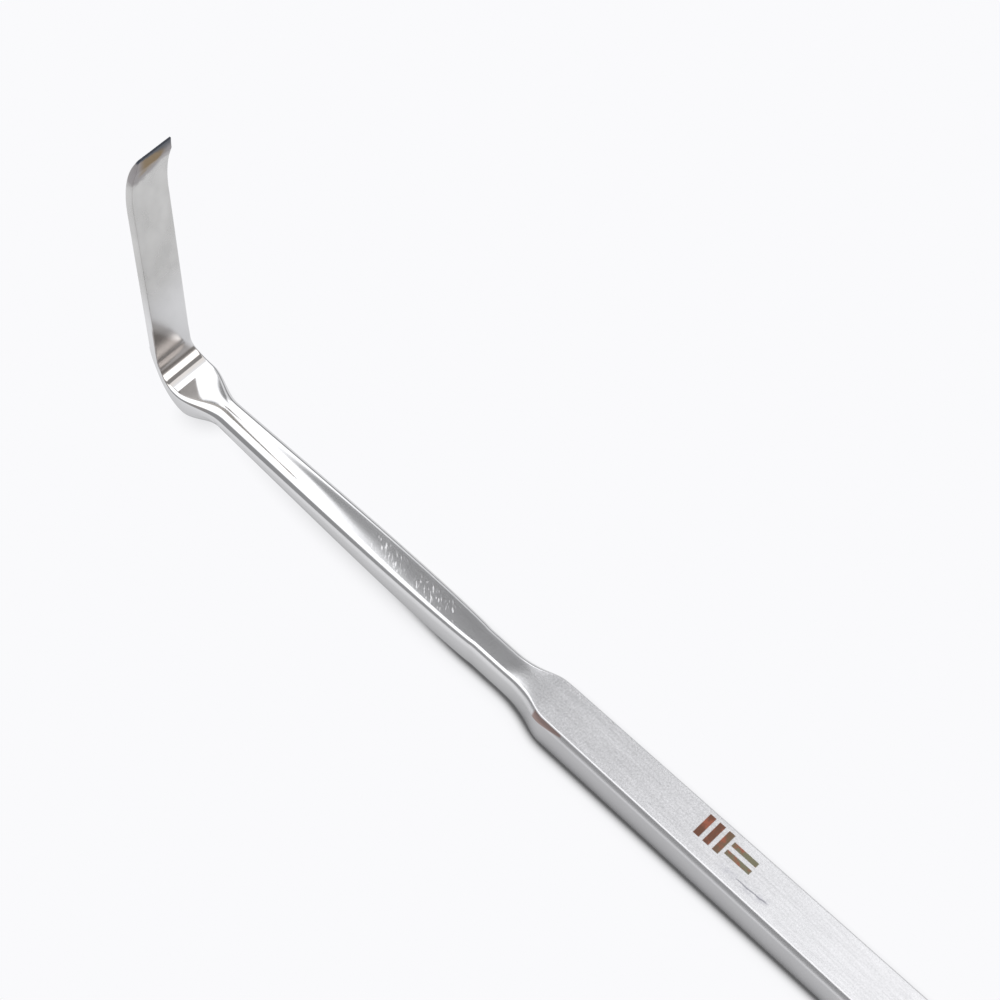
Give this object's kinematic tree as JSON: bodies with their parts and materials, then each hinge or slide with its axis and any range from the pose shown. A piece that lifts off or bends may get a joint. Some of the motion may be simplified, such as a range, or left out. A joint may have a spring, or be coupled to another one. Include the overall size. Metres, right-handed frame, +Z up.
{
  "type": "dental elevator",
  "caption": "Rigid steel hand instrument with a flat bar handle, a slender shank and an upright right-angle blade ending in a small inward lip.",
  "frame": {"origin": "centre of the handle's flat underside", "axes": "+X along the handle towards the blade, +Z up, away from the surface that the handle lies on, and along the blade"},
  "size_m": [0.2035, 0.009, 0.064],
  "materials": {
    "handle_satin": "fine satin along the bar",
    "neck_ground": "ground satin with cross marks",
    "shank_ground": "ground satin with polished edges",
    "bend_polished": "polished bare steel",
    "blade_satin": "fine even satin",
    "lip_tinted": "polished steel with a heat tint at the edge"
  },
  "bodies": {
    "root": {"handle": "handle_satin", "neck": "neck_ground", "shank": "shank_ground", "heel": "bend_polished", "bend": "bend_polished", "blade": "blade_satin", "lip": "lip_tinted"}
  },
  "joints": []
}
